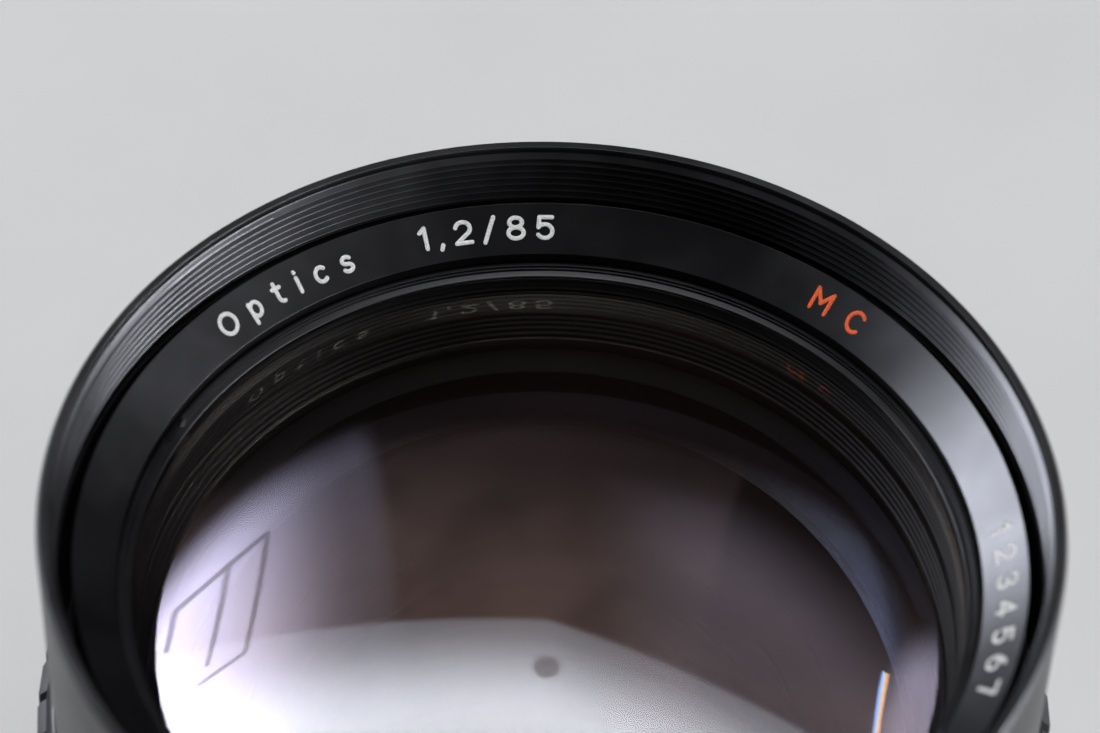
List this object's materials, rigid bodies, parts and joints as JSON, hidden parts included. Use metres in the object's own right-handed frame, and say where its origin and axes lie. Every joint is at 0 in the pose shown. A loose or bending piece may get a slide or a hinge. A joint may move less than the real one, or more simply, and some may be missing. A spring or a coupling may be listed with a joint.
{
  "type": "camera prime lens",
  "caption": "Fast short-telephoto prime lens for a reflex camera: large front glass in a threaded rim, rubber focus ring, aperture ring, iris blades and a metal bayonet mount.",
  "frame": {"origin": "centre of the bayonet flange face, which is the face that meets the camera body", "axes": "+Z along the optical axis to the front of the lens; the index marks are on the -Y side"},
  "size_m": [0.08, 0.08, 0.0786],
  "materials": {
    "black_metal": "satin black anodised",
    "baffle_black": "matt black",
    "chrome": "satin chrome",
    "steel": "fine turned",
    "brass": "turned",
    "rubber": "matt",
    "glass": "multi-coated, polished",
    "red_enamel": "gloss",
    "orange_enamel": "gloss",
    "blade_black": "dry blackened steel"
  },
  "bodies": {
    "fixed_barrel": {"bayonet_mount": "chrome", "mount_screws": "steel", "mount_index_dot": "red_enamel", "main_barrel": "black_metal", "guide_keys": "brass", "key_screws": "steel", "depth_scale_ring": "black_metal", "scale_ring_screws": "steel", "index_bead": "orange_enamel", "click_ball": "steel", "click_spring": "steel"},
    "lens_unit": {"lens_tube": "black_metal", "front_barrel": "black_metal", "barrel_set_screws": "steel", "front_cell": "black_metal", "name_ring": "black_metal", "front_retaining_ring": "black_metal", "element_1": "glass", "baffle_ring": "baffle_black", "element_2": "glass", "element_3": "glass", "element_3_retainer": "baffle_black", "diaphragm_base": "baffle_black", "diaphragm_screws": "steel", "diaphragm_cover": "baffle_black", "rear_cell": "baffle_black", "cell_screws": "steel", "element_4": "glass", "element_5": "glass", "element_4_retainer": "baffle_black", "element_6": "glass", "element_6_retainer": "baffle_black", "focus_retainer": "brass"},
    "floating_group": {"floating_cell": "baffle_black", "float_pins": "brass", "element_7": "glass", "spacer_ring": "baffle_black", "element_8": "glass", "rear_retaining_ring": "baffle_black"},
    "focus_ring_unit": {"focus_ring": "black_metal", "rubber_grip": "rubber", "helicoid_bush": "brass", "skirt_screws": "steel"},
    "aperture_ring_unit": {"aperture_ring": "black_metal", "aperture_drive_pin": "steel"},
    "stop_down_unit": {"stop_down_ring": "steel"},
    "cam_ring_unit": {"cam_ring": "steel"},
    "blade_1_unit": {"blade_1": "blade_black"},
    "blade_2_unit": {"blade_2": "blade_black"},
    "blade_3_unit": {"blade_3": "blade_black"},
    "blade_4_unit": {"blade_4": "blade_black"},
    "blade_5_unit": {"blade_5": "blade_black"},
    "blade_6_unit": {"blade_6": "blade_black"},
    "blade_7_unit": {"blade_7": "blade_black"},
    "blade_8_unit": {"blade_8": "blade_black"},
    "blade_9_unit": {"blade_9": "blade_black"}
  },
  "joints": [
    {"name": "helicoid_slide", "type": "slide", "parent": "fixed_barrel", "child": "lens_unit", "axis": [0, 0, 1], "range_m": [0, 0.0089]},
    {"name": "focus_turn", "type": "hinge", "parent": "lens_unit", "child": "focus_ring_unit", "pos_m": [0, 0, 0.04], "axis": [0, 0, 1], "range_deg": [0, 260]},
    {"name": "floating_slide", "type": "slide", "parent": "lens_unit", "child": "floating_group", "axis": [0, 0, -1], "range_m": [0, 0.00125]},
    {"name": "aperture_turn", "type": "hinge", "parent": "fixed_barrel", "child": "aperture_ring_unit", "pos_m": [0, 0, 0.009], "axis": [0, 0, 1], "range_deg": [0, 45]},
    {"name": "stop_down_turn", "type": "hinge", "parent": "fixed_barrel", "child": "stop_down_unit", "pos_m": [0, 0, 0.005], "axis": [0, 0, 1], "range_deg": [0, 45.5]},
    {"name": "cam_turn", "type": "hinge", "parent": "lens_unit", "child": "cam_ring_unit", "pos_m": [0, 0, 0.036], "axis": [0, 0, 1], "range_deg": [0, 45.5]},
    {"name": "blade_1_turn", "type": "hinge", "parent": "lens_unit", "child": "blade_1_unit", "pos_m": [0.0302, 0, 0.0345], "axis": [0, 0, 1], "range_deg": [0, 36.2]},
    {"name": "blade_2_turn", "type": "hinge", "parent": "lens_unit", "child": "blade_2_unit", "pos_m": [0.02313, 0.01941, 0.0345], "axis": [0, 0, 1], "range_deg": [0, 36.2]},
    {"name": "blade_3_turn", "type": "hinge", "parent": "lens_unit", "child": "blade_3_unit", "pos_m": [0.00524, 0.02974, 0.0345], "axis": [0, 0, 1], "range_deg": [0, 36.2]},
    {"name": "blade_4_turn", "type": "hinge", "parent": "lens_unit", "child": "blade_4_unit", "pos_m": [-0.0151, 0.02615, 0.0345], "axis": [0, 0, 1], "range_deg": [0, 36.2]},
    {"name": "blade_5_turn", "type": "hinge", "parent": "lens_unit", "child": "blade_5_unit", "pos_m": [-0.02838, 0.01033, 0.0345], "axis": [0, 0, 1], "range_deg": [0, 36.2]},
    {"name": "blade_6_turn", "type": "hinge", "parent": "lens_unit", "child": "blade_6_unit", "pos_m": [-0.02838, -0.01033, 0.0345], "axis": [0, 0, 1], "range_deg": [0, 36.2]},
    {"name": "blade_7_turn", "type": "hinge", "parent": "lens_unit", "child": "blade_7_unit", "pos_m": [-0.0151, -0.02615, 0.0345], "axis": [0, 0, 1], "range_deg": [0, 36.2]},
    {"name": "blade_8_turn", "type": "hinge", "parent": "lens_unit", "child": "blade_8_unit", "pos_m": [0.00524, -0.02974, 0.0345], "axis": [0, 0, 1], "range_deg": [0, 36.2]},
    {"name": "blade_9_turn", "type": "hinge", "parent": "lens_unit", "child": "blade_9_unit", "pos_m": [0.02313, -0.01941, 0.0345], "axis": [0, 0, 1], "range_deg": [0, 36.2]}
  ],
  "couplings": [
    {"joint": "helicoid_slide", "follows": "focus_turn", "m_per_rad": 0.0019392},
    {"joint": "floating_slide", "follows": "focus_turn", "m_per_rad": 0.00026444},
    {"joint": "stop_down_turn", "follows": "aperture_turn", "ratio": 1},
    {"joint": "cam_turn", "follows": "aperture_turn", "ratio": 1},
    {"joint": "blade_1_turn", "follows": "aperture_turn", "ratio": 0.794},
    {"joint": "blade_2_turn", "follows": "aperture_turn", "ratio": 0.794},
    {"joint": "blade_3_turn", "follows": "aperture_turn", "ratio": 0.794},
    {"joint": "blade_4_turn", "follows": "aperture_turn", "ratio": 0.794},
    {"joint": "blade_5_turn", "follows": "aperture_turn", "ratio": 0.794},
    {"joint": "blade_6_turn", "follows": "aperture_turn", "ratio": 0.794},
    {"joint": "blade_7_turn", "follows": "aperture_turn", "ratio": 0.794},
    {"joint": "blade_8_turn", "follows": "aperture_turn", "ratio": 0.794},
    {"joint": "blade_9_turn", "follows": "aperture_turn", "ratio": 0.794}
  ]
}
